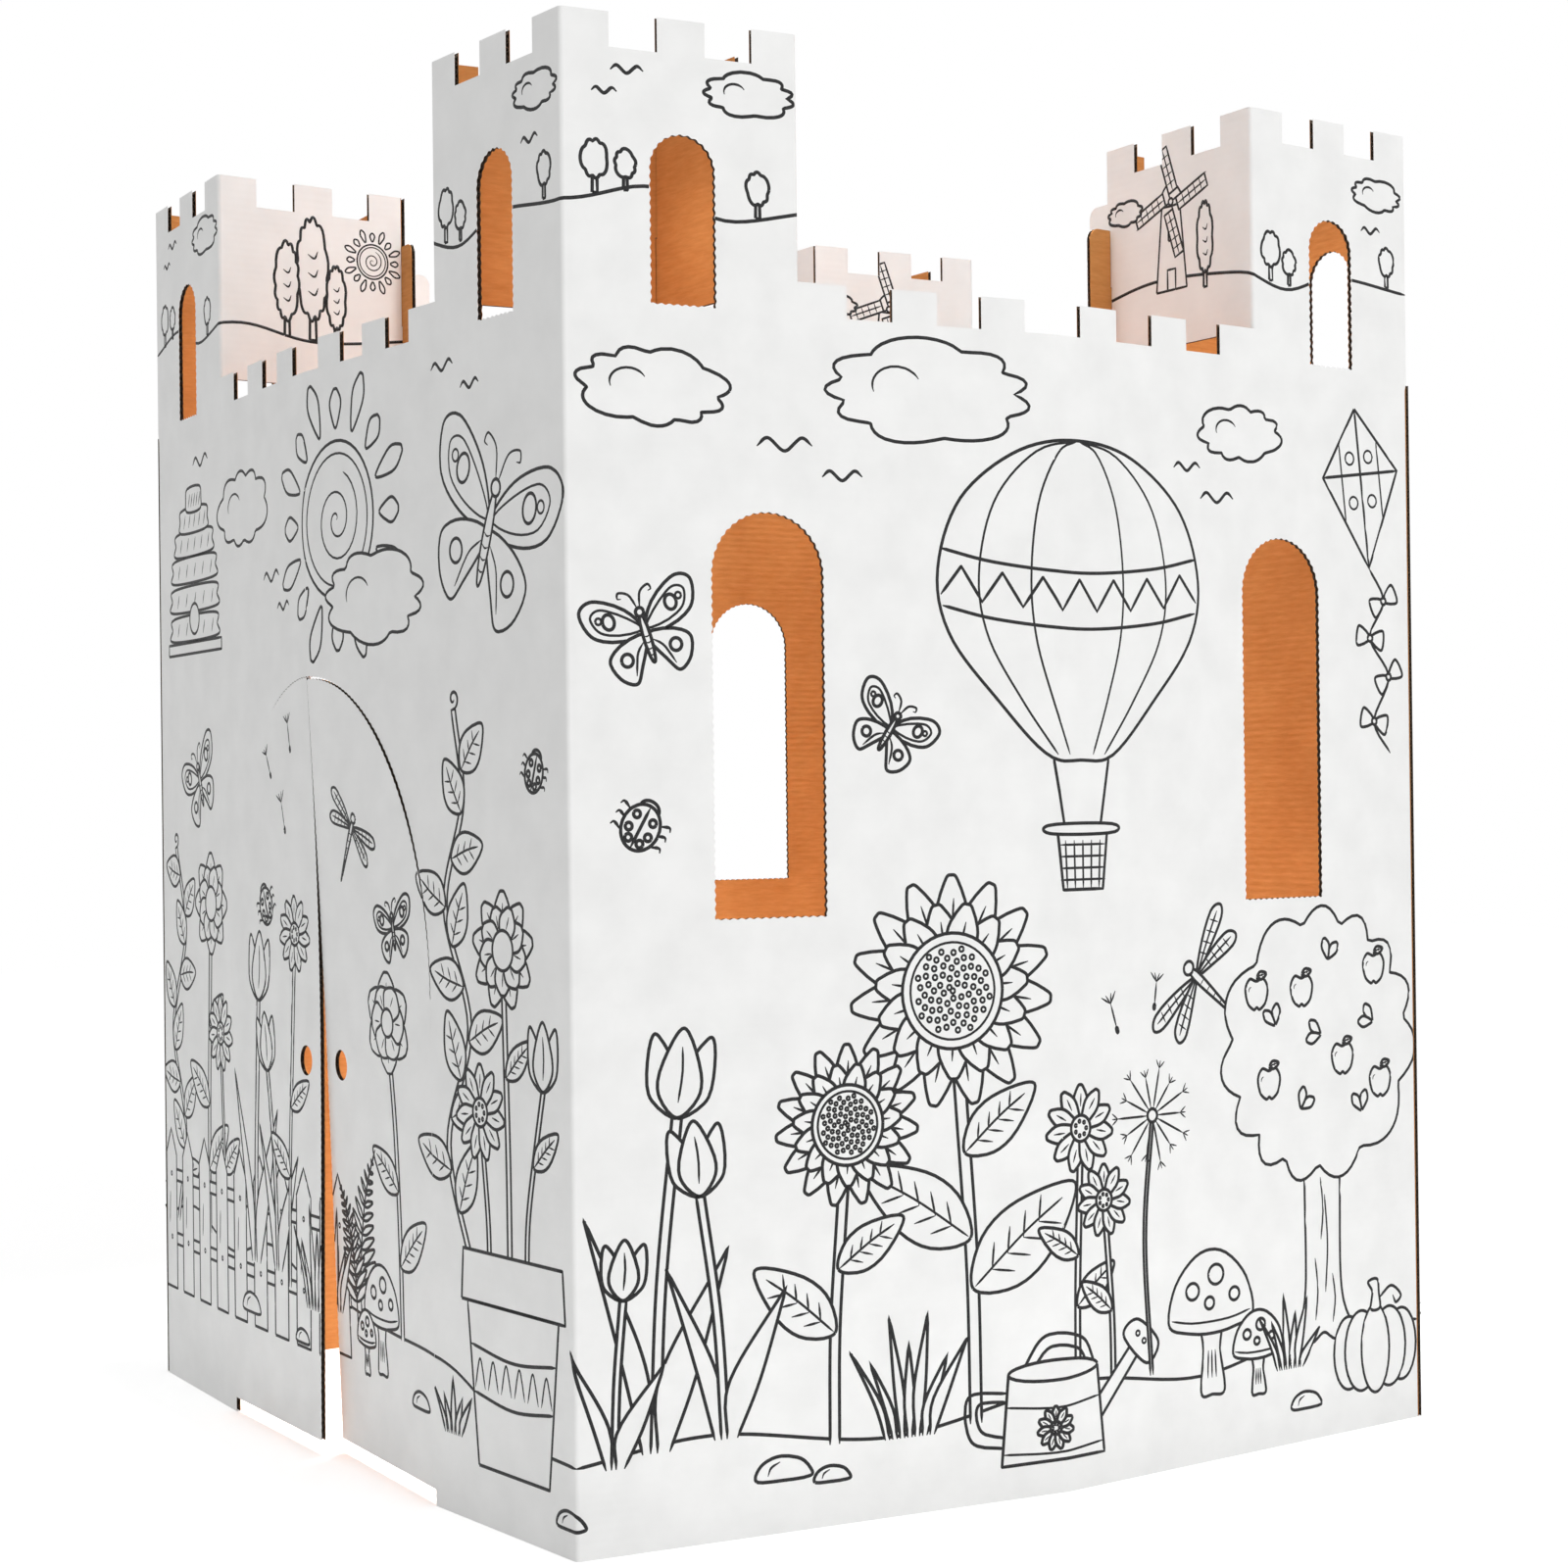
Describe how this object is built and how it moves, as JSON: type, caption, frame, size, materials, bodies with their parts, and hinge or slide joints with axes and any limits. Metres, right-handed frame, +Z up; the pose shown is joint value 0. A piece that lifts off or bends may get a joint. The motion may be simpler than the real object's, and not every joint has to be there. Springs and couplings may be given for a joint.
{
  "type": "cardboard play castle",
  "caption": "Child's castle folded from corrugated board: white outside, crenellated corner towers, arched windows and a double door",
  "frame": {"origin": "on the floor, at the middle of the footprint", "axes": "+Z up; the door wall faces -Y and the wall with two windows next to it faces +X"},
  "size_m": [0.895, 0.855, 1.105],
  "materials": {
    "white_board": "bleached white liner with black line print outside, brown kraft liner inside",
    "brown_board": "bleached white liner with black line print outside, brown kraft liner inside"
  },
  "bodies": {
    "root": {"front_sheet": "white_board", "back_sheet": "brown_board"}
  },
  "joints": []
}
